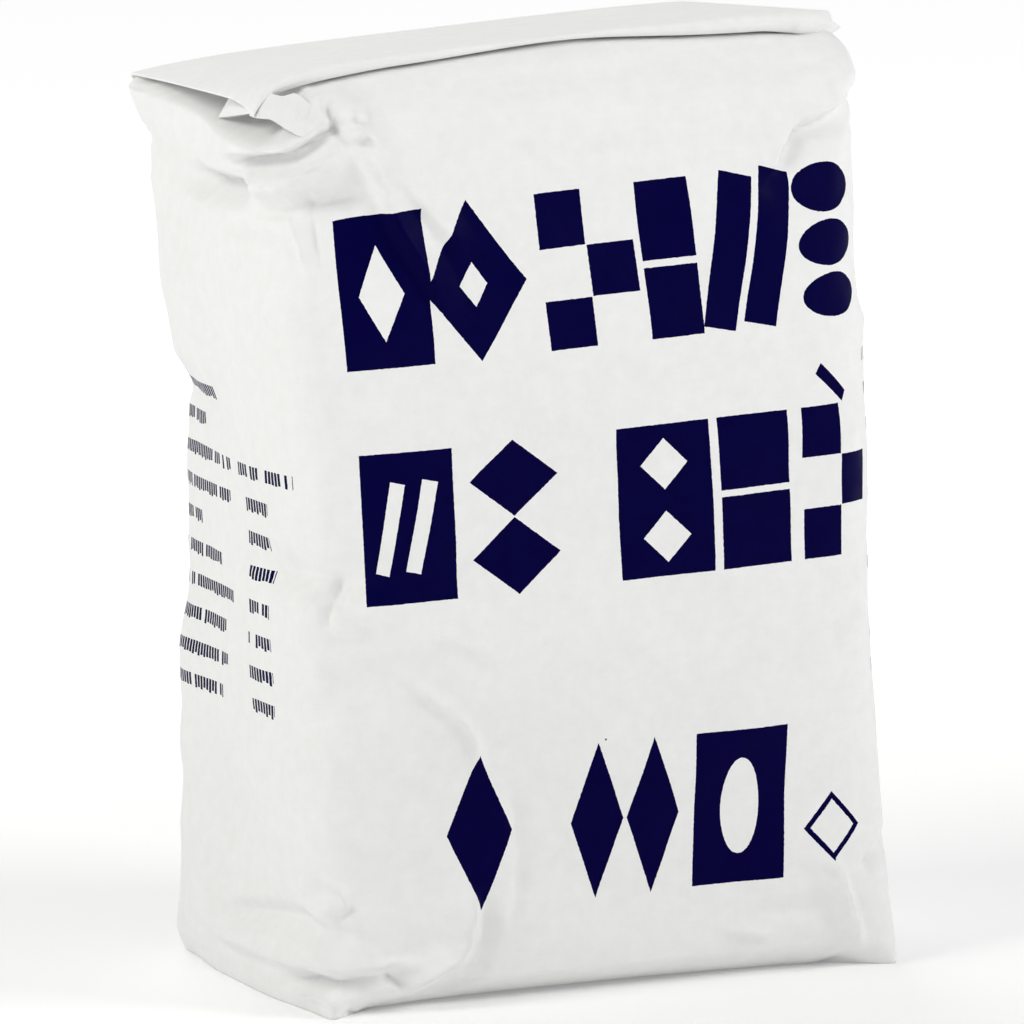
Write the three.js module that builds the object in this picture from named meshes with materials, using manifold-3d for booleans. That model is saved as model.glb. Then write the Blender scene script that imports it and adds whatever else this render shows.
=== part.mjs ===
// A one-kilogram paper bag of flour, shut at the top. Millimetres, +Z up, the printed front faces -Y.
// It is one closed solid: the filled sack with its soft, crowned panels, side tucks and creases, and
// the folded strip of the mouth that lies over the top and ends in a thick rolled lip at the front.
import * as THREE from 'three';
import { mergeVertices } from 'three/addons/utils/BufferGeometryUtils.js';
import Module from 'manifold-3d';

// Driving sizes of the paper block before it is filled, leaned and creased.
const WIDTH = 110;
const DEPTH = 77;
const TOP = 166.5;                 // height of the fold that shuts the mouth
const LEAN_DEGREES = 3.5;          // how far the top has turned over to the left

// The filled sack.
const BASE_HALF_WIDTH = 55.3;
const BASE_HALF_DEPTH = 38.8;
const SIDE_CROWN = 1.2;
const FRONT_CROWN = 5.0;
const BACK_CROWN = 4.5;
const SHOULDER = 151;              // the front panel starts to run back above this height
const SHOULDER_EDGE_Y = -22;       // where it meets the closing fold
const MID_SQUARENESS = 6;          // superellipse exponent of a section half way up
const BASE_SQUARENESS = 22;        // added at the base, where the corners are folded sharp
const TOP_SQUARENESS = 16;         // added at the mouth
const BASE_TURN = { height: 7, side: 4, front: 6 };   // how far the bottom edges turn under

// The closing flap.
const LIP_Y = -29.5;
const FLAP_BACK_Y = 38.6;
const FLAP_HALF_WIDTH = 55.4;
const FLAP_THICKNESS = 1.1;
const LIP_DEPTH = 6;               // the doubled strip behind the lip's nose
const LIP_DROP = { left: 1.0, right: 2.2 };           // extra thickness of the lip, along its length
const FLAP_ARCH = { back: 2.0, lip: 4.8, halfSpan: 58 };
const EAR_DROOP = 2.6;             // the flap's front left corner hangs down

// Steps of the two grids.
const SACK_STEPS = { x: 24, y: 17, z: 36 };
const FLAP_STEPS = { x: 22, y: 9 };

const clamp01 = (v) => Math.min(Math.max(v, 0), 1);

function ramp(v, low, high) {
  const t = clamp01((v - low) / (high - low));
  return t * t * (3 - 2 * t);
}

// Section sizes at height z.
const halfWidth = (z) => BASE_HALF_WIDTH + SIDE_CROWN * ramp(z, 5, 50) * (1 - ramp(z, 130, 158));
const halfBack = (z) => BASE_HALF_DEPTH + BACK_CROWN * ramp(z, 8, 60) * (1 - ramp(z, 120, 160));
const squareness = (z) =>
  MID_SQUARENESS + BASE_SQUARENESS * Math.exp(-z / 14) + TOP_SQUARENESS * ramp(z, 148, 164);

function halfFront(z) {
  const t = clamp01((z - SHOULDER) / (TOP - SHOULDER));
  const run = 0.45 * (1 - Math.sqrt(1 - t * t)) + 0.55 * t * t;
  const crown = FRONT_CROWN * ramp(z, 8, 70) * (1 - ramp(z, 115, 157));
  return BASE_HALF_DEPTH + crown - (BASE_HALF_DEPTH + SHOULDER_EDGE_Y) * run;
}

// Distance along the wrapped paper, in mm, from the middle of the front panel: the front runs from
// -55 to 55, the left side from -55 to -132, the right side from 55 to 132, the back beyond those.
function paperAlong(rx, ry) {
  const halfW = WIDTH / 2;
  const halfD = DEPTH / 2;
  if (Math.abs(rx) >= Math.abs(ry)) return Math.sign(rx) * (halfW + halfD * (1 + ry / Math.abs(rx)));
  const across = halfW * rx / Math.abs(ry);
  if (ry < 0) return across;
  return (across < 0 ? -1 : 1) * (2 * halfW + DEPTH) - across;
}

// One crease: a groove (negative depth) or a ridge along a straight stroke on the wrapped paper.
function stroke(u, z, [fromU, fromZ], [toU, toZ], width, depth) {
  const du = toU - fromU;
  const dz = toZ - fromZ;
  const t = clamp01(((u - fromU) * du + (z - fromZ) * dz) / (du * du + dz * dz));
  const away = Math.hypot(u - fromU - t * du, z - fromZ - t * dz);
  const fade = ramp(t, 0, 0.25) * (1 - ramp(t, 0.75, 1));
  return depth * Math.exp(-((away / width) ** 2)) * (0.25 + 0.75 * fade);
}

const CREASES = [
  // from, to, width, depth
  [[-46, 159], [-70, 151], 3.5, -3.0],      // pinch under the left tuck
  [[-66, 151], [-106, 149], 4.0, -2.5],
  [[-60, 146], [-38, 146], 3.0, 1.2],
  [[-41, 152], [-29, 127], 3.0, 1.3],       // long diagonal pull on the front
  [[-54, 82], [-64, 56], 4.0, -1.2],        // dent in the front left edge
  [[-30, 68], [-18, 62], 3.0, 0.8],
  [[-36, 59], [-25, 42], 3.0, 0.9],
  [[-27, 18], [-46, 2], 3.5, 1.2],          // curved folds over the front left foot
  [[-107, 12], [-46, 13], 4.0, 1.2],
  [[-72, 4], [-44, 7], 3.0, -1.5],
  [[44, 15], [47, 3], 3.0, -1.6],           // pleat beside the front right foot
  [[59, 22], [45, 15], 3.0, -1.0],
  [[58, 155], [36, 144], 3.5, -1.3],        // pleat under the front right shoulder
  [[66, 149], [110, 147], 4.0, -2.5],       // pinch under the right tuck
  [[96, 108], [128, 100], 5.0, -1.6],       // slack folds on the side and back
  [[150, 96], [176, 62], 5.0, -1.2],
  [[-150, 128], [-178, 104], 5.0, -1.2],
  [[-160, 40], [-140, 14], 5.0, 1.1],
];

// How far the paper stands out of (or, negative, is pushed into) its plain section.
function relief(u, z) {
  const left = ramp(-u, 58, 74) * (1 - ramp(-u, 112, 130));
  const right = ramp(u, 58, 74) * (1 - ramp(u, 112, 130));
  const tuck = ramp(z, 151, 164);
  const buckle = ramp(-u, 75, 128) * (1 - ramp(-u, 150, 175)) * ramp(z, 40, 90) * (1 - ramp(z, 106, 116));
  let out = -12 * tuck * left - 11 * tuck * right - 4.5 * buckle;
  for (const [from, to, width, depth] of CREASES) out += stroke(u, z, from, to, width, depth);
  return out;
}

// Height of the closing fold above TOP: it arches up along its middle, and its front left ear hangs.
function topArch(x, y) {
  const forward = (FLAP_BACK_Y - y) / (FLAP_BACK_Y - LIP_Y);
  const height = FLAP_ARCH.back + (FLAP_ARCH.lip - FLAP_ARCH.back) * forward;
  const droop = EAR_DROOP * ramp(-x, 42, FLAP_HALF_WIDTH) * ramp(-y, -8, 24);
  return height * (1 - (x / FLAP_ARCH.halfSpan) ** 4) - droop;
}

// The whole bag turns over to the left the higher it gets.
function lean(point) {
  const angle = THREE.MathUtils.degToRad(LEAN_DEGREES) * point.z / TOP;
  const shift = -angle * point.z / 2;
  return point.set(shift + point.x * Math.cos(angle), point.y, point.z + point.x * Math.sin(angle));
}

// Moves a point of the plain block to its place on the filled sack.
function sackPoint(point) {
  const { x, y, z } = point;
  const rx = x / (WIDTH / 2);
  const ry = y / (DEPTH / 2);
  const edge = Math.max(Math.abs(rx), Math.abs(ry));
  if (edge < 1e-6) return lean(point.setZ(z + (z > 1 ? topArch(0, 0) - FLAP_THICKNESS / 2 : 0)));

  // Squash the block's section to a crowned one with soft corners.
  const power = squareness(z);
  const round = edge / (Math.abs(rx) ** power + Math.abs(ry) ** power) ** (1 / power);
  const a = halfWidth(z);
  const b = ry < 0 ? halfFront(z) : halfBack(z);
  let outX = rx * round * a;
  let outY = ry * round * b;

  // The bottom edges turn under, and the four feet stay out.
  const low = clamp01(1 - z / BASE_TURN.height);
  const corner = (Math.min(Math.abs(rx), Math.abs(ry)) / edge) ** 5;
  const turn = (1 - Math.sqrt(1 - low * low)) * (1 - corner) * edge;
  if (Math.abs(rx) >= Math.abs(ry)) outX -= Math.sign(rx) * BASE_TURN.side * turn;
  else outY -= Math.sign(ry) * BASE_TURN.front * turn;

  // Tucks and creases push along the section's own outward direction.
  const normal = new THREE.Vector2(
    Math.sign(rx) * Math.abs(rx * round / edge) ** (power - 1) / a,
    Math.sign(ry) * Math.abs(ry * round / edge) ** (power - 1) / b,
  ).normalize();
  const push = relief(paperAlong(rx, ry), z) * edge * ramp(z, 0, 4);
  outX += normal.x * push;
  outY += normal.y * push;

  const arch = (topArch(outX, outY) - FLAP_THICKNESS / 2) * ramp(z, 128, TOP);
  return lean(point.set(outX, outY, z + arch));
}

// Moves a point of a plain slab to its place on the closing flap. z is 0 on its underside, 1 on top.
function flapPoint(point) {
  const { x, y, z } = point;
  const along = (x / FLAP_HALF_WIDTH + 1) / 2;
  const nose = 1 - ramp(y, LIP_Y + LIP_DEPTH * 0.5, LIP_Y + LIP_DEPTH);
  const thick = FLAP_THICKNESS + nose * (LIP_DROP.left + (LIP_DROP.right - LIP_DROP.left) * along);
  return lean(point.set(x, y, TOP + topArch(x, y) - (1 - z) * thick));
}

// A block cut into steps, with every vertex moved by a function, as a closed mesh.
function shapedBlock(width, depth, height, centre, steps, spread, move) {
  const geometry = new THREE.BoxGeometry(width, depth, height, steps.x, steps.y, steps.z);
  geometry.deleteAttribute('normal');
  geometry.deleteAttribute('uv');
  geometry.translate(centre.x, centre.y, centre.z);
  const merged = mergeVertices(geometry, 1e-4);
  const places = merged.getAttribute('position');
  const point = new THREE.Vector3();
  for (let i = 0; i < places.count; i += 1) {
    move(spread(point.fromBufferAttribute(places, i)));
    places.setXYZ(i, point.x, point.y, point.z);
  }
  return merged;
}

// Steps lie closer together near the foot and the mouth than half way up.
function crowdEnds(point) {
  const t = point.z / TOP;
  return point.setZ(TOP * (t - 0.09 * Math.sin(2 * Math.PI * t)));
}

// Steps lie closer together near the lip.
function crowdLip(point) {
  const t = (point.y - LIP_Y) / (FLAP_BACK_Y - LIP_Y);
  return point.setY(LIP_Y + (FLAP_BACK_Y - LIP_Y) * t ** 1.6);
}

const wasm = await Module();
wasm.setup();

function solidOf(geometry) {
  return new wasm.Manifold(new wasm.Mesh({
    numProp: 3,
    vertProperties: new Float32Array(geometry.getAttribute('position').array),
    triVerts: new Uint32Array(geometry.getIndex().array),
  }));
}

function geometryOf(solid) {
  const mesh = solid.getMesh();
  const geometry = new THREE.BufferGeometry();
  geometry.setAttribute('position', new THREE.BufferAttribute(new Float32Array(mesh.vertProperties), 3));
  geometry.setIndex(new THREE.BufferAttribute(new Uint32Array(mesh.triVerts), 1));
  return geometry;
}

const sack = shapedBlock(
  WIDTH, DEPTH, TOP, new THREE.Vector3(0, 0, TOP / 2), SACK_STEPS, crowdEnds, sackPoint,
);
const flapDepth = FLAP_BACK_Y - LIP_Y;
const flap = shapedBlock(
  2 * FLAP_HALF_WIDTH, flapDepth, 1, new THREE.Vector3(0, LIP_Y + flapDepth / 2, 0.5),
  { ...FLAP_STEPS, z: 1 }, crowdLip, flapPoint,
);

// Stand the joined bag over its own middle, with its feet on z = 0.
const bagGeometry = geometryOf(solidOf(sack).add(solidOf(flap)));
bagGeometry.computeBoundingBox();
const box = bagGeometry.boundingBox;
bagGeometry.translate(-(box.min.x + box.max.x) / 2, -(box.min.y + box.max.y) / 2, -box.min.z);
bagGeometry.computeVertexNormals();

const paper = new THREE.MeshStandardMaterial({ color: 0xeeeeec, roughness: 0.62, metalness: 0 });
const bag = new THREE.Mesh(bagGeometry, paper);
bag.name = 'bag';

const group = new THREE.Group();
group.add(bag);

export default group;
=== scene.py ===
# A one-kilogram paper bag of flour, shut at the top, on a plain pale floor in soft studio light.
# Lengths are millimetres while a piece is shaped, and metres once it is set down in the frame.
import math

import bpy
import numpy as np
from mathutils import Matrix, Vector


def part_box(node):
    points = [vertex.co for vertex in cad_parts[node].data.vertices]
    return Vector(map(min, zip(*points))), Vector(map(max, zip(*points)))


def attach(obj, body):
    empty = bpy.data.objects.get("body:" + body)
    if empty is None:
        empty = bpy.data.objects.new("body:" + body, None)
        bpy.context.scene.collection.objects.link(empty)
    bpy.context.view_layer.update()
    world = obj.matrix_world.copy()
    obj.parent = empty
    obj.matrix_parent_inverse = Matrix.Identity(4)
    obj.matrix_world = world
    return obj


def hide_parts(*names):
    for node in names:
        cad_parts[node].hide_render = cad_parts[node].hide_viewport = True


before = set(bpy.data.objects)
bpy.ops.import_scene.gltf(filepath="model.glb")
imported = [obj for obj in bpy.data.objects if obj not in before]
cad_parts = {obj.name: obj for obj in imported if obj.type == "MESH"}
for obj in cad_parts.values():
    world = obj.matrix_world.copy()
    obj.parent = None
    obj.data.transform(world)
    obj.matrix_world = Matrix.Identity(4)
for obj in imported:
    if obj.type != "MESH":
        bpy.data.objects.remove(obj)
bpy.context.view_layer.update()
MM = 0.001

# ---------------------------------------------------------------- driving sizes of the bag

WIDTH, DEPTH, TOP = 110.0, 77.0, 166.5      # the paper block before it is filled
LEAN = math.radians(3.5)                    # how far the top has turned over to the left
BASE_HALF_WIDTH, BASE_HALF_DEPTH = 55.3, 38.8
SIDE_CROWN, FRONT_CROWN, BACK_CROWN = 1.2, 5.0, 4.5     # how far the flour swells each panel
SHOULDER, SHOULDER_EDGE_Y = 151.0, -22.0    # where the front starts to slope back, and its top edge
TURN_HEIGHT, TURN_SIDE, TURN_FRONT = 10.5, 0.8, 9.5     # the panels' turn in to the flat bottom
FOOT_HEIGHT = 4.8                           # the lowest part of that turn, which slopes in evenly
LIP_Y, FLAP_BACK_Y, FLAP_HALF_WIDTH = -29.5, 38.8, 55.4
FLAP_ROLL, FLAP_SKIRT = 2.2, 3.5            # the flap's radius over the back edge, and its fall
ARCH_BACK, ARCH_LIP = 2.0, 5.0              # how high the flap arches
CORNER_DROOP = 1.6                          # how far its front left corner bends down
SHEET = 0.45                                # its thickness, about four papers
LEAF = 0.3                                  # a folded leaf, a little more than two papers
GIRTH = 2 * (WIDTH + DEPTH)                 # once round the bag
SIDE_START = WIDTH / 2 + DEPTH              # where the left side meets the back


def ramp(value, low, high):
    """Smooth step from 0 at low to 1 at high."""
    t = np.clip((value - low) / (high - low), 0, 1)
    return t * t * (3 - 2 * t)


def quarter_round(value, start, end):
    """0 at start, falling away as a quarter circle to 1 at end."""
    t = np.clip((value - start) / (end - start), 0, 1)
    return 1 - np.sqrt(1 - t * t)


# ---------------------------------------------------------------- the filled sack's own shape

def half_width(z):
    return BASE_HALF_WIDTH + SIDE_CROWN * ramp(z, 5, 50) * (1 - ramp(z, 130, 158))


def half_back(z):
    crown = BACK_CROWN * ramp(z, 8, 60) * (1 - ramp(z, 120, 160))
    return BASE_HALF_DEPTH + crown - 1.3 * ramp(z, 161.5, TOP)


def half_front(z):
    t = np.clip((z - SHOULDER) / (TOP - SHOULDER), 0, 1)
    run = 0.45 * (1 - np.sqrt(1 - t * t)) + 0.55 * t * t
    crown = FRONT_CROWN * ramp(z, 8, 70) * (1 - ramp(z, 115, 157))
    return BASE_HALF_DEPTH + crown - (BASE_HALF_DEPTH + SHOULDER_EDGE_Y) * run


def squareness(z):
    return 6 + 22 * np.exp(-z / 14) + 16 * ramp(z, 148, 164)


def paper_along(rx, ry):
    """Distance along the wrapped paper from the middle of the front, left negative."""
    side = np.abs(rx) >= np.abs(ry)
    wide, deep = WIDTH / 2, DEPTH / 2
    round_side = np.sign(rx) * (wide + deep * (1 + ry / np.maximum(np.abs(rx), 1e-9)))
    across = wide * rx / np.maximum(np.abs(ry), 1e-9)
    behind = np.where(across < 0, -1, 1) * (2 * wide + DEPTH) - across
    return np.where(side, round_side, np.where(ry < 0, across, behind))


# Sharp folds in the paper: a line on the wrapped paper as (distance along, height) points listed
# rightwards or downwards, how far its crest stands out, and its reach over the line and under it.
FOLDS = [
    # under the tuck in the left side
    ([(-88, 153.2), (-80, 154.6), (-73.5, 155.4), (-66, 156.4), (-59.5, 156.8), (-55, 156.7),
      (-49, 157), (-44.5, 157.6), (-38.5, 158.4)], -2.9, (2.2, 2.8)),
    ([(-48, 164.2), (-45.5, 162.8), (-43.6, 161)], 0.7, (1.7, 1.7)),
    ([(-50, 162.5), (-47.5, 160.5), (-46, 159)], -0.6, (1.7, 1.7)),
    ([(-107, 150.2), (-97, 148.5), (-87, 149), (-75, 150.3)], -3.0, (3.2, 3.6)),
    ([(-74, 151), (-66, 152.4), (-58, 153.2), (-49, 154.2), (-43, 155)], 0.7, (1.8, 3.5)),
    ([(-76, 146.6), (-62, 147), (-56, 146.6), (-46, 145.9), (-38.5, 147)], -1.1, (4.5, 1.6)),
    ([(-86, 141.5), (-72, 142.7), (-61, 142.8)], -0.45, (4.0, 1.6)),
    # pulls that run down the front from the nose of that tuck
    ([(-42.5, 156), (-41, 152), (-38.5, 147), (-35.5, 140.5), (-31, 133), (-28.5, 125)],
     1.3, (5.0, 1.6)),
    ([(-40.5, 152.5), (-38.5, 148.5), (-36, 145)], 0.7, (2.0, 1.4)),
    ([(-35, 149.5), (-30.5, 144.5), (-26, 139), (-23, 134)], 0.9, (4.5, 2.0)),
    ([(-64, 154), (-60.5, 147), (-58.5, 141), (-57, 134)], 0.6, (3.5, 1.5)),
    ([(-57, 150), (-55.5, 144), (-54.5, 137)], -0.5, (2.5, 1.6)),
    ([(-45, 162.5), (-43.5, 159), (-43, 155.8)], -1.3, (2.0, 1.5)),
    ([(-41.5, 163), (-41, 160), (-40.5, 157.8)], 1.0, (1.8, 1.7)),
    ([(-39.5, 162), (-39, 159.5), (-38.5, 157.5)], 0.9, (1.6, 3.0)),
    ([(-44.5, 155.8), (-40.5, 154.6), (-38, 155.2)], -1.0, (1.8, 1.6)),
    ([(-42.5, 157.4), (-39.5, 156.2), (-36, 154)], 0.9, (1.6, 1.5)),
    ([(-38.5, 153.5), (-35.5, 152.5)], 0.6, (1.6, 1.4)),
    ([(-36, 163), (-34.5, 158), (-33, 153)], -0.35, (3.0, 2.0)),
    ([(-14, 150.3), (-9.5, 149.7), (-8, 145)], -0.35, (2.4, 1.6)),
    ([(-61, 108), (-52, 108)], -0.35, (4.0, 3.0)),
    # the dent half way down the front left edge
    ([(-79, 79.6), (-66, 80.2), (-56, 79.6), (-46, 78.5)], -1.7, (7.0, 4.5)),
    ([(-55, 80), (-58, 75), (-60, 71)], -0.9, (2.6, 1.5)),
    ([(-60, 69), (-46, 69)], -0.5, (3.0, 2.0)),
    ([(-60, 68), (-61, 60.5), (-68.5, 53)], 0.6, (4.0, 6.0)),
    ([(-60, 79), (-64, 73), (-66, 66)], 0.5, (3.0, 2.0)),
    ([(-35, 69), (-30, 67), (-22.5, 63.5)], 0.45, (2.2, 1.4)),
    ([(-40, 62), (-35.5, 57.5), (-32, 55), (-29, 52), (-26.5, 47.5), (-25.5, 43)], 0.7, (2.0, 1.4)),
    # over the front left foot
    ([(-21, 42), (-19, 35), (-18, 27), (-19, 18), (-21, 11)], -0.55, (3.0, 1.8)),
    ([(-43, 2.5), (-39.5, 4.2), (-35.5, 6.4), (-30.5, 8.8), (-28.8, 12), (-28, 17), (-28.5, 24)],
     1.5, (6.0, 2.2)),
    ([(-74, 4.2), (-68, 5.6), (-62.5, 7), (-53, 6.4), (-44, 7.4)], -1.7, (1.8, 4.0)),
    ([(-35, 2), (-31, 4.5), (-27, 8), (-25.3, 13), (-25, 20)], -1.0, (2.4, 3.6)),
    ([(-44, 7.6), (-40.5, 4.8)], -0.8, (1.6, 1.4)),
    ([(-47, 8.2), (-43, 9.4), (-38, 9)], 0.7, (1.8, 1.4)),
    ([(-70, 2.2), (-62, 3.6), (-54, 3)], 0.6, (1.8, 1.4)),
    ([(-66, 22), (-60, 24.5), (-55, 23), (-51, 19.5)], 0.6, (2.6, 1.8)),
    ([(-58, 19), (-54, 18), (-50, 20)], -0.6, (2.0, 1.6)),
    ([(-108, 10.5), (-98, 13), (-89, 14.8), (-76, 16.8), (-66, 17.3), (-60, 15.8), (-52, 16.2),
      (-46.5, 13.3)], -1.1, (2.5, 5.0)),
    ([(-108, 8.5), (-90, 8.2), (-74.5, 8.6), (-60, 8.8), (-47, 9)], 1.1, (6.0, 2.2)),
    # beside the front right foot
    ([(22, 9), (26, 8.2), (31, 7.2)], 0.6, (2.0, 1.5)),
    ([(26, 11.8), (40, 11.5)], -0.5, (3.0, 2.0)),
    ([(43, 19), (44.2, 15.5), (46, 10), (47.6, 4)], 1.5, (1.7, 6.0)),
    ([(48, 18), (53, 20.5), (60, 23.5)], -1.1, (1.8, 3.5)),
    ([(41, 19.3), (45.5, 17.3)], 0.5, (2.0, 1.5)),
    # the pleat under the front right shoulder
    ([(35.5, 142.3), (39, 144), (42, 146.5), (44, 148.5), (50.5, 149.6), (56, 150.8), (60, 153.2),
      (66, 154)], -1.6, (1.6, 3.5)),
    ([(39, 157), (43, 158.3), (47, 158.6), (51.5, 157.6)], -0.4, (1.6, 1.2)),
    ([(49, 154.5), (60, 154)], -0.35, (1.2, 1.5)),
    ([(5, 154), (18, 154.6), (25, 154.4)], 0.25, (3.0, 3.0)),
    ([(41, 62), (47, 64), (56, 67)], -0.5, (2.5, 3.0)),
    # the right side and the back
    ([(66, 150), (80, 147.5), (96, 147), (112, 149)], -2.2, (3.0, 4.0)),
    ([(60, 118), (74, 111), (90, 108)], 0.6, (3.0, 5.0)),
    ([(96, 109), (112, 104), (130, 101)], -0.9, (4.0, 3.0)),
    ([(70, 44), (84, 38), (97, 26)], 0.6, (4.0, 2.0)),
    ([(60, 14), (76, 12), (96, 15)], 0.8, (5.0, 3.0)),
    ([(108, 10), (126, 13), (142, 11)], -0.9, (2.5, 5.0)),
    ([(134, 152), (146, 141), (151, 126)], 0.6, (4.0, 1.6)),
    ([(150, 97), (163, 82), (177, 62)], -0.9, (4.0, 3.0)),
    ([(-182, 58), (-170, 48), (-161, 30)], 0.5, (3.0, 1.5)),
    ([(-182, 104), (-166, 116), (-151, 128)], -0.9, (3.0, 4.0)),
    ([(-160, 40), (-150, 26), (-138, 15)], 0.9, (4.0, 2.2)),
    ([(-172, 14), (-152, 9), (-138, 10)], -0.8, (2.5, 5.0)),
]


CREASING = 1.8                              # how hard every fold is pressed in
CREST_POWER = 1.15                          # 1 is a plain ridge, and more is a finer one
FADE, END_STRENGTH = 0.22, 0.25             # the part over which a fold's ends fade, and to what


def folded(u, z):
    """How far all the sharp folds push the paper out."""
    out = np.zeros_like(u)
    for points, height, (over, under) in FOLDS:
        spots = np.array(points, float)
        near = np.full_like(u, 1e9)
        level, hand = np.zeros_like(u), np.zeros_like(u)
        steps = np.diff(spots, axis=0)
        lengths = np.hypot(*steps.T)
        run = np.concatenate([[0], np.cumsum(lengths)]) / lengths.sum()
        for spot, step, length, start, end in zip(spots, steps, lengths, run, run[1:]):
            du, dz = u - spot[0], z - spot[1]
            t = np.clip((du * step[0] + dz * step[1]) / length ** 2, 0, 1)
            away = np.hypot(du - t * step[0], dz - t * step[1])
            closer = away < near
            near = np.where(closer, away, near)
            level = np.where(closer, start + t * (end - start), level)
            hand = np.where(closer, dz * step[0] - du * step[1], hand)
        reach = np.where(hand > 0, over, under)
        crest = np.clip(1 - near / reach, 0, 1) ** CREST_POWER
        middle = ramp(level, 0, FADE) * (1 - ramp(level, 1 - FADE, 1))
        ends = END_STRENGTH + (1 - END_STRENGTH) * middle
        out += CREASING * height * crest * ends
    return out


# The slack paper's waves, as length and height, each laid in a few directions.
WAVES = [(46, 0.16), (34, 0.13), (25, 0.10), (18, 0.07), (13, 0.045), (9, 0.028)]
WAVE_DIRECTIONS = 3


def ripples(u, z):
    """Slack paper over flour: faint waves in every direction, the same on each run."""
    chance = np.random.default_rng(20)
    out = np.zeros_like(u)
    for length, height in WAVES:
        for _ in range(WAVE_DIRECTIONS):
            angle = chance.uniform(0, math.pi)
            across = round(GIRTH * math.cos(angle) / length) / GIRTH
            up = math.sin(angle) / length
            phase = chance.uniform(0, 2 * math.pi)
            out += height * np.sin(2 * math.pi * (across * u + up * z) + phase)
    return out * ramp(z, 2, 16) * (1 - 0.6 * ramp(z, 158, TOP))


# How far two upright edges wander out of true, as (height, outward) going up.
BACK_LEFT_EDGE = [
    (0, 0), (2, 1.0), (5, 1.8), (25, 1.6), (36, 0.1), (48, 0.3), (59, 1.6), (75, 1.0), (86, 1.7),
    (105, 1.1), (109, -0.3), (113, -1.3), (118, -1.0), (125, 0), (133, 0.5), (144, 1.4), (148, 1.9),
    (151.5, 0.6), (155, -0.9), (157, -0.2), (159, 0.6), (163, 1.6), (166.5, 2.6)]
FRONT_RIGHT_EDGE = [
    (0, 1.6), (18, 1.7), (26, 1.0), (36, 0.6), (47, -0.2), (60, -0.6), (72, -0.4), (83, 0.3),
    (92, 1.0), (112, 0.7), (120, 0.6), (127, 0.9), (137, 1.4), (142, 2.2), (147, 2.8), (151, 2.5),
    (155, 1.5), (159, 1.1), (163, 0.9), (166.5, -0.8)]


def left_tuck(u, z):
    """The top of the left side turns in flat and runs deep under the closing flap."""
    shut = ramp(-u, 88, 122)                # towards the back the gap closes to a slit
    start = 158.7 + 0.9 * (1 - ramp(-u, 57, 70)) + 6.0 * shut
    reach = 3.4 - 1.8 * shut
    rim = ramp(z, start, start + 0.6 * reach)
    inward = 0.25 * rim + 0.75 * ramp(z, start + 0.3 * reach, start + reach)
    return -18 * inward * ramp(-u, 45.5, 52.5) * (1 - ramp(-u, 120, 134))


def lip_groove(u, z):
    """The front panel draws back just under the lip, and touches it again at one spot."""
    along = ramp(u, -57, -49) * (1 - ramp(u, 44, 53)) * (1 - 0.85 * np.exp(-((u - 3) / 6) ** 2))
    gape = 1 - ramp(u, -48, -34)
    start = TOP - lip_thickness(u) - 0.4 - 0.5 * gape
    swell = 2.4 * ramp(z, 160, 164.5) * np.exp(-(u / 30) ** 2)
    return swell - (2.1 + gape) * ramp(z, start, start + 1.1) * along


def relief(u, z, tucked=True):
    """How far the paper stands out of, or is pushed into, its plain section."""
    right = ramp(u, 58, 74) * (1 - ramp(u, 108, 130))
    buckle = ramp(-u, 75, 128) * (1 - ramp(-u, 150, 175))
    buckle = buckle * ramp(z, 40, 90) * (1 - ramp(z, 106, 116))
    out = -11 * ramp(z, 153, 165) * right - 4.5 * buckle
    out -= 6.3 * quarter_round(z, 158, 167.5) * ramp(u, 36, 57) * (1 - ramp(u, 120, 132))
    shoulder = 1.5 * ramp(u, 38, 58) * (1 - ramp(u, 70, 90))
    out += shoulder * ramp(z, 153, 157) * (1 - ramp(z, 160, 166))
    out += folded(u, z) + ripples(u, z)
    if tucked:
        out += left_tuck(u, z) + lip_groove(u, z)
    return out


def stance(u, z):
    """How far two upright edges and the foot of the left side stand out."""
    near_back_left = ramp(-u, 96, 128) * (1 - ramp(-u, 138, 166))
    near_front_right = ramp(u, 34, 53) * (1 - ramp(u, 62, 92))
    out = np.interp(z, *np.transpose(BACK_LEFT_EDGE)) * near_back_left
    out += np.interp(z, *np.transpose(FRONT_RIGHT_EDGE)) * near_front_right
    return out + 2.4 * ramp(-u, 57, 84) * (1 - ramp(-u, 104, 131)) * (1 - ramp(z, 4, 30))


def hem(u):
    """How far the bottom edge lifts off the floor beside the front feet."""
    right = 1.2 * np.exp(-((u - 45.5) / 3.2) ** 2) + 0.3 * ramp(u, -50, -42) * (1 - ramp(u, 0, 30))
    left = 0.9 * np.exp(-((u + 50.5) / 1.3) ** 2) + 0.5 * np.exp(-((u + 46.5) / 1.8) ** 2)
    return right + left + 0.2 * np.exp(-((u + 43.5) / 1.2) ** 2)


def lip_front(x):
    """Where the lip's nose lies along the front, with a crease near its right end."""
    crease = 0.7 * ramp(x, 46.6, 47.8)
    return LIP_Y - 1.5 * ramp(x, 0, 30) * (1 - ramp(x, 42, 56)) + 4.0 * ramp(-x, 40, 55) - crease


def lip_thickness(x):
    thin_spot = 1.2 * np.exp(-(x / 21) ** 2)
    left_roll = 0.7 * ramp(x, -56, -51) * (1 - ramp(x, -48, -28))
    rising = 1.3 * ramp(x, -56, -48) + 1.0 * ramp(x, 4, 40) + 1.4 * ramp(x, 40, 54)
    return 0.9 + rising + left_roll - thin_spot


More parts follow.
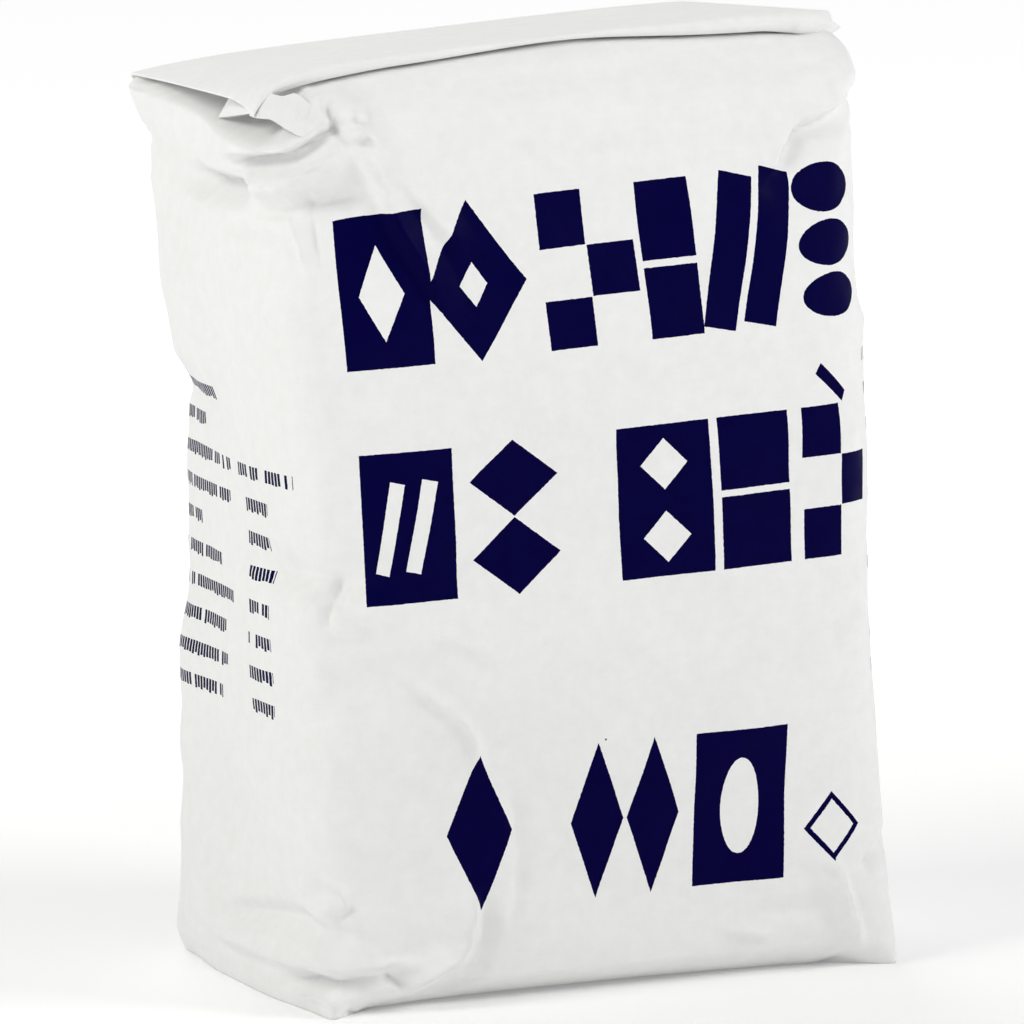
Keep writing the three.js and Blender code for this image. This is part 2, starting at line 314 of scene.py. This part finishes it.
def top_arch(x, y):
    """Height of the closing fold above TOP, with the front left corner of the flap bent down."""
    forward = np.clip((FLAP_BACK_Y - y) / (FLAP_BACK_Y - LIP_Y), 0, 1)
    left_end = (x / 58) ** 4 * (1 - forward) + (x / 54.5) ** 12 * forward
    ends = np.where(x < 0, left_end, (x / 75) ** 4)
    corner = (-x - FLAP_HALF_WIDTH) / 4 + (lip_front(x) - y) / 11
    droop = CORNER_DROOP * np.clip(1 + corner, 0, 1.2) ** 1.3
    return (ARCH_BACK + (ARCH_LIP - ARCH_BACK) * forward) * (1 - ends) - droop


def plain_arch(x, y):
    """The gentler arch the sack's paper keeps until just under that fold."""
    forward = np.clip((FLAP_BACK_Y - y) / (FLAP_BACK_Y - LIP_Y), 0, 1)
    ends = (x / np.where(x < 0, 58, 75)) ** 4
    front_left = ramp(-x, 42, 55.4) * ramp(-y, -8, 24)
    return (ARCH_BACK + (ARCH_LIP - ARCH_BACK) * forward) * (1 - ends) - 2.6 * front_left


def lean(x, y, z):
    """The whole bag turns over to the left the higher it gets."""
    angle = LEAN * z / TOP
    return np.stack([x * np.cos(angle) - angle * z / 2, y, z + x * np.sin(angle)], axis=1)


def sack_places(block, tucked=True, lift=0.0):
    """Moves points of the plain block to their places on the filled sack."""
    x, y, z = block.T
    rx, ry = x / (WIDTH / 2), y / (DEPTH / 2)
    edge = np.maximum(np.maximum(np.abs(rx), np.abs(ry)), 1e-6)
    power = squareness(z)
    rounded = edge / np.maximum((np.abs(rx) ** power + np.abs(ry) ** power) ** (1 / power), 1e-9)
    a, b = half_width(z), np.where(ry < 0, half_front(z), half_back(z))
    out_x, out_y = rx * rounded * a, ry * rounded * b

    low = np.clip(1 - z / TURN_HEIGHT, 0, 1)
    foot = np.clip(1 - z / FOOT_HEIGHT, 0, 1) ** 1.2
    corner = (np.minimum(np.abs(rx), np.abs(ry)) / edge) ** 5
    turn = (0.5 * (1 - np.sqrt(1 - low * low)) + 0.5 * foot) * (1 - corner) * edge
    side = np.abs(rx) >= np.abs(ry)
    out_x -= np.where(side, np.sign(rx) * TURN_SIDE * turn, 0)
    out_y -= np.where(side, 0, np.sign(ry) * TURN_FRONT * turn)

    nx = np.sign(rx) * np.abs(rx * rounded / edge) ** (power - 1) / a
    ny = np.sign(ry) * np.abs(ry * rounded / edge) ** (power - 1) / b
    length = np.maximum(np.hypot(nx, ny), 1e-9)
    u = paper_along(rx, ry)
    push = (relief(u, z, tucked) * ramp(z, 0, 3) + stance(u, z)) * edge + lift
    out_x += nx / length * push
    out_y += ny / length * push

    mouth = ramp(z, 159.5, 165)
    arch = plain_arch(out_x, out_y) * (1 - mouth) + top_arch(out_x, out_y) * mouth
    arch = (arch - SHEET) * ramp(z, 128, TOP)
    feet = hem(u) * (1 - ramp(z, 0, 5)) * ramp(edge, 0.8, 1)
    return lean(out_x, out_y, z + arch + feet)


# ---------------------------------------------------------------- making meshes

def places_of(piece):
    co = np.empty(len(piece.data.vertices) * 3)
    piece.data.vertices.foreach_get("co", co)
    return co.reshape(-1, 3)


def set_places(piece, co):
    piece.data.vertices.foreach_set("co", np.asarray(co, float).ravel())
    piece.data.update()


def cut_along(piece, axis, steps):
    """Cuts every edge that runs along an axis into equal steps."""
    mesh = piece.data
    ends = np.empty(len(mesh.edges) * 2, int)
    mesh.edges.foreach_get("vertices", ends)
    run = np.abs(np.diff(places_of(piece)[ends.reshape(-1, 2)], axis=1)[:, 0])
    for group in (mesh.vertices, mesh.polygons):
        group.foreach_set("select", np.zeros(len(group), bool))
    mesh.edges.foreach_set("select", run.argmax(axis=1) == axis)
    bpy.context.tool_settings.mesh_select_mode = (False, True, False)
    bpy.ops.object.mode_set(mode="EDIT")
    bpy.ops.mesh.subdivide(number_cuts=steps - 1, quadcorner="INNERVERT")
    bpy.ops.object.mode_set(mode="OBJECT")


def refine(piece, levels):
    """Cuts every face into four, levels times, without smoothing."""
    finer = piece.modifiers.new("finer", "SUBSURF")
    finer.subdivision_type = "SIMPLE"
    finer.levels = finer.render_levels = levels
    bpy.ops.object.modifier_apply(modifier="finer")


def cut_block(name, size, centre, steps, levels=2):
    """A block cut into a fine grid on all its faces."""
    bpy.ops.object.select_all(action="DESELECT")
    bpy.ops.mesh.primitive_cube_add(size=1, location=centre)
    piece = bpy.context.object
    piece.name = piece.data.name = name
    piece.scale = size
    bpy.ops.object.transform_apply(location=True, rotation=False, scale=True)
    for axis in range(3):
        if steps[axis] > 1:
            cut_along(piece, axis, steps[axis])
    refine(piece, levels)
    return piece


def cut_sheet(name, steps):
    """A unit square sheet from (0, 0) to (1, 1), cut into a grid."""
    bpy.ops.object.select_all(action="DESELECT")
    bpy.ops.mesh.primitive_grid_add(x_subdivisions=steps[0], y_subdivisions=steps[1], size=1,
                                    location=(0.5, 0.5, 0))
    sheet = bpy.context.object
    sheet.name = sheet.data.name = name
    bpy.ops.object.transform_apply(location=True, rotation=False, scale=True)
    return sheet


def thicken(sheet, thickness, offset):
    paper = sheet.modifiers.new("paper", "SOLIDIFY")
    paper.thickness = thickness
    paper.offset = offset
    paper.use_quality_normals = True
    bpy.ops.object.modifier_apply(modifier="paper")
    bpy.ops.object.shade_smooth_by_angle(angle=math.radians(50))


# ---------------------------------------------------------------- the sack

STEPS_ACROSS, STEPS_DEEP, STEPS_UP = 29, 20, 47     # each is then halved twice
CLOSER_ROWS, CLOSER_COLUMNS = 0.055, 0.04   # how far the grid moves to the foot, mouth and sides


def make_sack():
    """The filled bag itself: a plain block of fine squares, moved to the paper's places."""
    sack = cut_block("sack", (WIDTH, DEPTH, TOP), (0, 0, TOP / 2),
                     (STEPS_ACROSS, STEPS_DEEP, STEPS_UP))
    block = places_of(sack)
    t = block[:, 2] / TOP
    block[:, 2] = TOP * (t - CLOSER_ROWS * np.sin(2 * math.pi * t))
    block[:, 0] += CLOSER_COLUMNS * WIDTH * np.sin(2 * math.pi * block[:, 0] / WIDTH)
    lay_paper_maps(sack, block)
    set_places(sack, sack_places(block))
    bpy.ops.object.shade_smooth()
    return sack


def lay_paper_maps(sack, block):
    """Two UV maps of the flat paper: Panel carries the print, and OFBake packs the faces apart."""
    mesh = sack.data
    corners = np.empty(len(mesh.loops), int)
    mesh.loops.foreach_get("vertex_index", corners)
    sides = 4
    middle = block[corners].reshape(-1, sides, 3).mean(axis=1).repeat(sides, axis=0)
    x, y, z = block[corners].T
    u = paper_along(x / (WIDTH / 2), y / (DEPTH / 2))
    u_middle = paper_along(middle[:, 0] / (WIDTH / 2), middle[:, 1] / (DEPTH / 2))
    behind = (u_middle > WIDTH / 2) | (u_middle < -SIDE_START)
    u = np.where(behind, u % GIRTH, u)
    base, mouth = middle[:, 2] < 1e-3, middle[:, 2] > TOP - 1e-3

    panel = np.stack([(u + SIDE_START) / GIRTH, z / GIRTH], axis=1)
    panel[base | mouth] = (0.5, 0.9)        # clear of all print
    mesh.uv_layers.new(name="Panel").data.foreach_set("uv", panel.ravel())

    gap, half_girth = 3.0, GIRTH / 2
    flat_x = np.where(behind, u - WIDTH / 2, u + SIDE_START)
    flat_y = np.where(behind, z + TOP + gap, z)
    flat_x = np.where(base | mouth, y + DEPTH / 2 + half_girth + gap, flat_x)
    flat_y = np.where(base, x + WIDTH / 2, flat_y)
    flat_y = np.where(mouth, x + WIDTH * 1.5 + gap, flat_y)
    packed = (np.stack([flat_x, flat_y], axis=1) + gap) / (2 * TOP + 3 * gap)
    mesh.uv_layers.new(name="OFBake").data.foreach_set("uv", packed.ravel())


# ---------------------------------------------------------------- the closing flap and its ears

def make_flap():
    """The folded mouth: a sheet that rolls over the back edge and has a thick lip at the front."""
    deep = FLAP_BACK_Y - LIP_Y
    flap = cut_block("closing_flap", (2, 1, 1), (0, 0.5, 0.5), (STEPS_ACROSS, STEPS_DEEP, 1))
    across, back, level = places_of(flap).T
    path = deep - FLAP_ROLL + FLAP_ROLL * math.pi / 2 + FLAP_SKIRT
    s = path * back ** 1.5                  # closer rows at the lip
    half = FLAP_HALF_WIDTH - 0.6 * ramp(across, 0.5, 1)
    x = across * (half - 3.4 * ramp(s, deep - 1, path))
    x = x - 2.6 * (1 - level) * ramp(across, 0.8, 1) * (1 - ramp(s, 3, 12))
    s += (lip_front(x) - LIP_Y) * (1 - ramp(s, 0, 26))

    # Along the sheet from the nose: flat, round the back edge, and down behind.
    flat = np.minimum(s, deep - FLAP_ROLL)
    turn = np.clip((s - flat) / FLAP_ROLL, 0, math.pi / 2)
    down = np.maximum(s - flat - FLAP_ROLL * math.pi / 2, 0)
    y = LIP_Y + flat + FLAP_ROLL * np.sin(turn)
    drop = FLAP_ROLL * (1 - np.cos(turn)) + down
    y -= 0.35 * (down / FLAP_SKIRT) ** 2

    from_front = s - (lip_front(x) - LIP_Y)
    nose = 1 - ramp(from_front, 2.6, 5.6)
    radius = (SHEET + nose * (lip_thickness(x) - SHEET)) / 2
    rounding = np.clip(from_front / radius + 0.03, 0, 1)
    half_thick = radius * np.sqrt(1 - (1 - rounding) ** 2)
    under = radius + half_thick * (1 - 2 * level)                # depth below the top surface
    z = TOP + top_arch(x, y) - drop - under * np.cos(turn)
    set_places(flap, lean(x, y - under * np.sin(turn), z))
    bpy.ops.object.shade_smooth_by_angle(angle=math.radians(50))
    return flap


# The folded corner's free lower edge, as (distance along the paper, height) going right.
CORNER_EDGE = [(-57.5, 165.9), (-56.0, 165.0), (-54.5, 163.8), (-53.0, 162.0), (-51.5, 160.6),
               (-50.0, 159.4), (-46.0, 158.0)]


def make_front_corner():
    """The front panel's top left corner, folded back over the tuck with a free lower edge."""
    sheet = cut_sheet("front_corner", (24, 12))
    s, t = places_of(sheet)[:, :2].T
    edge_u, edge_z = np.transpose(CORNER_EDGE)
    u = edge_u[0] + (edge_u[-1] - edge_u[0]) * s
    low = np.interp(u, edge_u, edge_z)
    high = TOP - (lip_thickness(u) - 0.3) * ramp(s, 0.25, 0.6) - 2.0 * ramp(s, 0.75, 1)
    z = low + (high - low) * t
    block = np.stack([np.maximum(u, -55), -DEPTH / 2 + np.maximum(-u - 55, 0), z], axis=1)
    sink = 0.35 - 1.3 * ramp(s, 0.5, 0.88)
    curl = 0.5 * (1 - s) * (1 - t) ** 2
    set_places(sheet, sack_places(block, tucked=False, lift=sink + curl))
    thicken(sheet, LEAF, -1)
    return sheet


# Each ear's four corners in the upright bag, listed round from the lower left.
LEFT_EAR = [(-57.2, 0.5, 157.6), (-58.9, -23.5, 160.3), (-58.6, -22.5, 161.4), (-57.9, -7.0, 161.6)]
RIGHT_EAR = [(46.9, -27.2, 167.6), (53.6, -25.0, 170.0), (49.8, -28.9, 171.9), (46.5, -28.6, 170.2)]


def make_ear(name, corners, belly):
    """A small four-cornered leaf of paper, bellied at its middle."""
    ear = cut_sheet(name, (12, 12))
    s, t = places_of(ear)[:, :2].T
    low_left, low_right, high_right, high_left = [np.array(corner, float) for corner in corners]
    low = low_left + np.outer(s, low_right - low_left)
    high = high_left + np.outer(s, high_right - high_left)
    outward = np.cross(low_right - low_left, high_left - low_left)
    outward /= np.linalg.norm(outward)
    bump = belly * np.sin(math.pi * s) * np.sin(math.pi * t)
    set_places(ear, low + (high - low) * t[:, None] + outward * bump[:, None])
    thicken(ear, LEAF, 0)
    return ear


# ---------------------------------------------------------------- materials

class Recipe:
    """Short ways to add and join nodes in one material."""

    def __init__(self, name):
        self.material = bpy.data.materials.new(name)
        self.material.use_nodes = True
        self.nodes = self.material.node_tree.nodes
        self.links = self.material.node_tree.links
        self.shader = self.nodes["Principled BSDF"]

    def add(self, kind, inputs=(), output=0, **settings):
        node = self.nodes.new("ShaderNode" + kind)
        for key, value in settings.items():
            setattr(node, key, value)
        for key, value in dict(inputs).items():
            self.feed(node.inputs[key], value)
        return node.outputs[output]

    def feed(self, socket, value):
        if isinstance(value, bpy.types.NodeSocket):
            self.links.new(value, socket)
        else:
            socket.default_value = value

    def math(self, operation, first, second=0.0, third=0.0):
        return self.add("Math", {0: first, 1: second, 2: third}, operation=operation)

    def noise(self, place, scale, detail=3.0, rough=0.5):
        return self.add("TexNoise", {"Vector": place, "Scale": scale, "Detail": detail,
                                     "Roughness": rough})

    def blend(self, factor, first, second):
        """A colour between two, by a factor."""
        factor_in, first_in, second_in, colour_out = 0, 6, 7, 2      # a Mix node's colour sockets
        node = self.nodes.new("ShaderNodeMix")
        node.data_type = "RGBA"
        for index, value in ((factor_in, factor), (first_in, first), (second_in, second)):
            self.feed(node.inputs[index], value)
        return node.outputs[colour_out]


def srgb(r, g, b):
    channels = [value / 255 for value in (r, g, b)]
    return [c / 12.92 if c <= 0.04045 else ((c + 0.055) / 1.055) ** 2.4 for c in channels] + [1.0]


BOX, RHOMB, OVAL = "box", "rhomb", "oval"

ROW_1, ROW_2, ROW_3 = 130.6, 88.8, 31.9     # heights of the print's three rows

# The front's print, as kind, middle, half sizes and turn: solid shapes, and bare windows in them.
INK_SHAPES = [
    (BOX, (-40.2, ROW_1), (9.2, 13), 0),
    (RHOMB, (-22.4, ROW_1), (9.8, 13.4), 0),
    (BOX, (-5.2, ROW_1 + 8.7), (4.4, 4.3), 0),
    (BOX, (3.8, ROW_1), (4.4, 4.3), 0),
    (BOX, (-5.2, ROW_1 - 8.7), (4.4, 4.3), 0),
    (BOX, (14.4, ROW_1 + 6.8), (5.0, 6.2), 0),
    (BOX, (14.4, ROW_1 - 6.8), (5.0, 6.2), 0),
    (BOX, (25.6, ROW_1), (3.2, 13.0), 14),
    (BOX, (33.6, ROW_1), (3.2, 13.0), 14),
    (OVAL, (48.2, ROW_1 + 9), (8.6, 3.9), 0),
    (OVAL, (48.2, ROW_1), (8.6, 3.9), 0),
    (OVAL, (48.2, ROW_1 - 9), (8.6, 3.9), 0),
    (BOX, (-38.5, ROW_2), (9.4, 13.6), 0),
    (RHOMB, (-17.8, ROW_2 + 7), (8.2, 6.9), 0),
    (RHOMB, (-17.8, ROW_2 - 7), (8.2, 6.9), 0),
    (BOX, (10.3, ROW_2), (8.8, 13.6), 0),
    (BOX, (27.6, ROW_2 + 7.1), (6.9, 6.5), 0),
    (BOX, (27.6, ROW_2 - 7.1), (6.9, 6.5), 0),
    (BOX, (42.0, ROW_2 + 9.1), (4.6, 4.5), 0),
    (BOX, (51.4, ROW_2), (4.6, 4.5), 0),
    (BOX, (42.0, ROW_2 - 9.1), (4.6, 4.5), 0),
    (BOX, (45.4, ROW_2 + 17.4), (4.2, 1.2), 40),
    (RHOMB, (-25.8, ROW_3), (6.2, 14.4), 0),
    (RHOMB, (-3.6, ROW_3), (5.0, 14.4), 0),
    (RHOMB, (7.0, ROW_3), (5.0, 14.4), 0),
    (BOX, (23.8, ROW_3), (8.8, 14.1), 0),
    (RHOMB, (42.5, ROW_3 - 5.6), (6.0, 6.3), 0),
]
BARE_SHAPES = [
    (RHOMB, (-40.2, ROW_1), (4.6, 8.2), 0),
    (RHOMB, (-22.4, ROW_1), (2.6, 3.8), 0),
    (BOX, (-41.8, ROW_2), (1.5, 8.4), 14),
    (BOX, (-35.4, ROW_2), (1.5, 8.4), 14),
    (RHOMB, (10.3, ROW_2 + 6.5), (4.4, 4.6), 0),
    (RHOMB, (10.3, ROW_2 - 6.5), (4.4, 4.6), 0),
    (OVAL, (23.8, ROW_3), (3.7, 8.8), 0),
    (RHOMB, (42.5, ROW_3 - 5.6), (4.6, 4.9), 0),
]


def shape_mask(recipe, paper, kind, middle, half, turn):
    """1 inside a plain shape on the wrapped paper, 0 outside."""
    unit = recipe.add("Mapping", {"Vector": paper, "Location": (*middle, 0), "Scale": (*half, 1),
                                  "Rotation": (0, 0, math.radians(-turn))}, vector_type="TEXTURE")
    if kind == OVAL:
        size = recipe.add("VectorMath", {0: unit}, "Value", operation="LENGTH")
    else:
        both = recipe.add("VectorMath", {0: unit}, operation="ABSOLUTE")
        split = recipe.nodes.new("ShaderNodeSeparateXYZ")
        recipe.links.new(both, split.inputs[0])
        join = "MAXIMUM" if kind == BOX else "ADD"
        size = recipe.math(join, split.outputs[0], split.outputs[1])
    return recipe.math("LESS_THAN", size, 1.0)


def any_of(recipe, masks):
    total = masks[0]
    for mask in masks[1:]:
        total = recipe.math("MAXIMUM", total, mask)
    return total


def between(recipe, value, low, high):
    above = recipe.math("GREATER_THAN", value, low)
    return recipe.math("MULTIPLY", above, recipe.math("LESS_THAN", value, high))


def small_print(recipe, u, z):
    """Rows of tiny dashes on the side, in two columns, where a bag has its table of figures."""
    row_pitch, table_top, dash_pitch = 6.2, 110.8, 1.25
    rows = recipe.math("DIVIDE", recipe.math("SUBTRACT", table_top, z), row_pitch)
    row = recipe.math("FLOOR", rows)
    cells = recipe.math("DIVIDE", u, dash_pitch)
    spot = recipe.add("CombineXYZ", {0: recipe.math("FLOOR", cells), 1: row})
    chance = recipe.add("TexWhiteNoise", {"Vector": spot}, "Value", noise_dimensions="2D")
    row_chance = recipe.add("TexWhiteNoise", {"W": row}, "Value", noise_dimensions="1D")
    height = recipe.math("MULTIPLY_ADD", chance, 0.12, 0.3)
    in_row = recipe.math("LESS_THAN", recipe.math("FRACT", rows), height)
    in_cell = recipe.math("LESS_THAN", recipe.math("FRACT", cells), 0.74)
    inked = recipe.math("GREATER_THAN", chance, 0.17)

    # A column of labels that end anywhere, and a column of figures whose first row is wider.
    label_end = recipe.math("MULTIPLY_ADD", row_chance, 22.0, -112.0)
    label = between(recipe, u, -127.0, label_end)
    figures = between(recipe, u, -86.0, -76.0)
    wide, first = between(recipe, u, -88.5, -66.0), between(recipe, row, 1.5, 2.5)
    figures = recipe.math("MAXIMUM", figures, recipe.math("MULTIPLY", wide, first))
    figures = recipe.math("MULTIPLY", figures, recipe.math("GREATER_THAN", row, 1.5))
    column = recipe.math("MAXIMUM", label, figures)
    table = between(recipe, row, -0.5, 9.5)
    mask = recipe.math("MULTIPLY", in_row, in_cell)
    for part in (inked, column, table):
        mask = recipe.math("MULTIPLY", mask, part)
    return mask


def print_mask(recipe):
    """The whole print, twice round the bag, with the slightly rough edge of a rubber plate."""
    panel = recipe.nodes.new("ShaderNodeUVMap")
    panel.uv_map = "Panel"
    flat = recipe.add("VectorMath", {0: panel.outputs[0], 1: (GIRTH, GIRTH, 0),
                                     2: (-SIDE_START, 0, 0)}, operation="MULTIPLY_ADD")
    spread = recipe.add("TexNoise", {"Vector": flat, "Scale": 1.6, "Detail": 2.0}, "Color")
    spread = recipe.add("VectorMath", {0: spread, 1: (0.22, 0.22, 0), 2: (-0.11, -0.11, 0)},
                        operation="MULTIPLY_ADD")
    rough = recipe.add("VectorMath", {0: flat, 1: spread}, operation="ADD")
    split = recipe.nodes.new("ShaderNodeSeparateXYZ")
    recipe.links.new(rough, split.inputs[0])
    u = recipe.math("WRAP", split.outputs[0], 57.5, 57.5 - GIRTH / 2)
    z = split.outputs[1]
    paper = recipe.add("CombineXYZ", {0: u, 1: z})
    ink = any_of(recipe, [shape_mask(recipe, paper, *shape) for shape in INK_SHAPES])
    bare = any_of(recipe, [shape_mask(recipe, paper, *shape) for shape in BARE_SHAPES])
    ink = recipe.math("MULTIPLY", ink, recipe.math("SUBTRACT", 1.0, bare))
    return recipe.math("MAXIMUM", ink, small_print(recipe, u, z))


def make_paper(name, printed):
    """White sack kraft: mottled, fibrous in two directions, nearly matt, with rare dark specks."""
    recipe = Recipe(name)
    place = recipe.add("TexCoord", output="Object")
    cloud = recipe.noise(place, 60.0, 2.0)
    mottle = recipe.noise(place, 330.0, 4.0, 0.6)
    upright = recipe.add("Mapping", {"Vector": place, "Scale": (1700, 1700, 230)})
    level = recipe.add("Mapping", {"Vector": place, "Scale": (260, 260, 1900)})
    fibre_up = recipe.noise(upright, 1.0, 2.0)
    fibre_level = recipe.noise(level, 1.0, 2.0)
    fibres = recipe.math("MULTIPLY_ADD", fibre_up, 0.5, recipe.math("MULTIPLY", fibre_level, 0.5))

    tone = recipe.math("MULTIPLY_ADD", cloud, 0.2, recipe.math("MULTIPLY", mottle, 0.55))
    tone = recipe.math("MULTIPLY_ADD", fibres, 0.25, tone)
    tone = recipe.add("MapRange", {"Value": tone, "From Min": 0.35, "From Max": 0.65})
    colour = recipe.blend(tone, srgb(232, 232, 231), srgb(238, 238, 238))

    cells = recipe.nodes.new("ShaderNodeTexVoronoi")
    recipe.links.new(place, cells.inputs["Vector"])
    cells.inputs["Scale"].default_value = 75.0
    small = recipe.math("LESS_THAN", cells.outputs["Distance"], 0.016)
    picked = recipe.nodes.new("ShaderNodeSeparateColor")
    recipe.links.new(cells.outputs["Color"], picked.inputs[0])
    rare = recipe.math("GREATER_THAN", picked.outputs[0], 0.93)
    colour = recipe.blend(recipe.math("MULTIPLY", small, rare), colour, srgb(96, 84, 72))

    rough = recipe.add("MapRange", {"Value": mottle, "From Min": 0.3, "From Max": 0.7,
                                    "To Min": 0.5, "To Max": 0.62})
    if printed:
        ink = print_mask(recipe)
        ink_tone = recipe.blend(mottle, srgb(2, 0, 50), srgb(4, 0, 62))
        colour = recipe.blend(ink, colour, ink_tone)
        rough = recipe.math("MULTIPLY_ADD", ink, -0.12, rough)
    recipe.feed(recipe.shader.inputs["Base Color"], colour)
    recipe.feed(recipe.shader.inputs["Roughness"], rough)
    recipe.shader.inputs["Specular IOR Level"].default_value = 0.025

    height = recipe.math("MULTIPLY_ADD", mottle, 0.9, recipe.math("MULTIPLY", fibres, 0.3))
    bump = recipe.add("Bump", {"Height": height, "Strength": 0.24, "Distance": 0.00022})
    recipe.feed(recipe.shader.inputs["Normal"], bump)
    return recipe.material


# ---------------------------------------------------------------- floor, lights and camera

GLOW_NEAR, GLOW_FAR = 0.12, 0.52            # the floor's own painted light, by the bag (dimmer, a painted shade round its foot) and away from it
GLOW_START, GLOW_END = 0.12, 0.7            # the distances between which it grows
ROOM_LEVEL, ROOM_TOP = 0.42, 0.5            # the room's light from the sides and from above
ROOM_TOP_HEIGHT = 0.7                       # from 0 level with the eye to 1 overhead


def make_stage():
    bpy.ops.object.select_all(action="DESELECT")
    bpy.ops.mesh.primitive_plane_add(size=8)
    floor = bpy.context.object
    floor.name = floor.data.name = "floor"
    recipe = Recipe("pale_floor_with_painted_glow")
    recipe.shader.inputs["Base Color"].default_value = (0.9, 0.9, 0.9, 1)
    recipe.shader.inputs["Roughness"].default_value = 0.85
    recipe.shader.inputs["Emission Color"].default_value = (1, 1, 1, 1)
    place = recipe.add("TexCoord", output="Object")
    away = recipe.add("VectorMath", {0: place}, "Value", operation="LENGTH")
    glow = recipe.add("MapRange", {"Value": away, "From Min": GLOW_START, "From Max": GLOW_END,
                                   "To Min": GLOW_NEAR, "To Max": GLOW_FAR},
                      interpolation_type="SMOOTHSTEP")
    # The floor glows though it is no lamp: painted light, dimmer by the bag as a painted shade
    # round its foot, brighter away from it
    recipe.feed(recipe.shader.inputs["Emission Strength"], glow)
    floor.data.materials.append(recipe.material)


def soft_box(name, place, size, power, colour=(1, 1, 1)):
    data = bpy.data.lights.new(name, "AREA")
    data.color = colour
    data.shape = "RECTANGLE"
    data.size, data.size_y = size
    data.energy = power
    light = bpy.data.objects.new(name, data)
    light.location = place
    aim = Vector((0, 0, 0.09)) - Vector(place)
    light.rotation_euler = aim.to_track_quat("-Z", "Y").to_euler()
    bpy.context.collection.objects.link(light)


def make_lights():
    soft_box("left_softbox", (-1.1, -0.2, 0.95), (0.6, 0.6), 6.6, (1, 1, 0.94))
    soft_box("right_softbox", (1.0, -0.9, 0.9), (0.6, 0.6), 8.0)
    soft_box("back_softbox", (0, 1.0, 0.9), (0.8, 0.6), 3.7)
    world = bpy.data.worlds.new("white_room")
    world.use_nodes = True
    nodes, links = world.node_tree.nodes, world.node_tree.links
    place = nodes.new("ShaderNodeTexCoord")
    split = nodes.new("ShaderNodeSeparateXYZ")
    links.new(place.outputs["Generated"], split.inputs[0])
    height = nodes.new("ShaderNodeMapRange")
    height.inputs["From Min"].default_value = 0.0
    height.inputs["From Max"].default_value = ROOM_TOP_HEIGHT
    height.inputs["To Min"].default_value = ROOM_LEVEL
    height.inputs["To Max"].default_value = ROOM_TOP
    links.new(split.outputs[2], height.inputs["Value"])
    looked_at = nodes.new("ShaderNodeLightPath")    # looked at directly, the room is plain white
    strength = nodes.new("ShaderNodeMath")
    strength.operation = "MAXIMUM"
    links.new(height.outputs[0], strength.inputs[0])
    links.new(looked_at.outputs["Is Camera Ray"], strength.inputs[1])
    links.new(strength.outputs[0], nodes["Background"].inputs["Strength"])
    nodes["Background"].inputs["Color"].default_value = (1, 1, 1, 1)
    bpy.context.scene.world = world
    bpy.context.scene.view_settings.view_transform = "Standard"


VIEW_AZIMUTH, VIEW_ELEVATION, VIEW_ROLL = math.radians(-22.4), math.radians(7.9), math.radians(-1.2)
VIEW_DISTANCE, LENS = 1.4, 269.3
AIM_HEIGHT, AIM_RIGHT, AIM_UP = 0.08, -0.00227, 0.00234     # what the camera looks at


def make_camera(set_down):
    back = Vector((math.sin(VIEW_AZIMUTH) * math.cos(VIEW_ELEVATION),
                   -math.cos(VIEW_AZIMUTH) * math.cos(VIEW_ELEVATION), math.sin(VIEW_ELEVATION)))
    level = Vector((0, 0, 1)).cross(back).normalized()
    roll = Matrix.Rotation(VIEW_ROLL, 3, back)
    right, up = roll @ level, roll @ back.cross(level)
    aim = Vector((0, 0, AIM_HEIGHT)) + right * AIM_RIGHT + up * AIM_UP + set_down
    data = bpy.data.cameras.new("camera")
    data.lens = LENS
    camera = bpy.data.objects.new("camera", data)
    bpy.context.collection.objects.link(camera)
    axes = Matrix((right, up, back)).transposed()
    camera.matrix_world = Matrix.Translation(aim + back * VIEW_DISTANCE) @ axes.to_4x4()
    bpy.context.scene.camera = camera


# ---------------------------------------------------------------- putting it together

sack = make_sack()
leaves = [
    make_flap(),
    make_front_corner(),
    make_ear("left_ear", LEFT_EAR, 0.5),
    make_ear("right_ear", RIGHT_EAR, 0.2),
]

# The modelled bag stands where the CAD bag stands: the middle of its box over the origin.
both = np.concatenate([places_of(sack), places_of(leaves[0])]) * MM
low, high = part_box("bag")
own_low, own_high = Vector(both.min(0)), Vector(both.max(0))
set_down = (low + high) / 2 - (own_low + own_high) / 2
set_down.z = low.z - own_low.z

printed_paper, plain_paper = make_paper("printed_paper", True), make_paper("plain_paper", False)
for piece in [sack] + leaves:
    set_places(piece, places_of(piece) * MM + np.array(set_down))
    piece.data.materials.append(printed_paper if piece is sack else plain_paper)
    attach(piece, "root")
    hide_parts("bag")

make_stage()
make_lights()
make_camera(set_down)
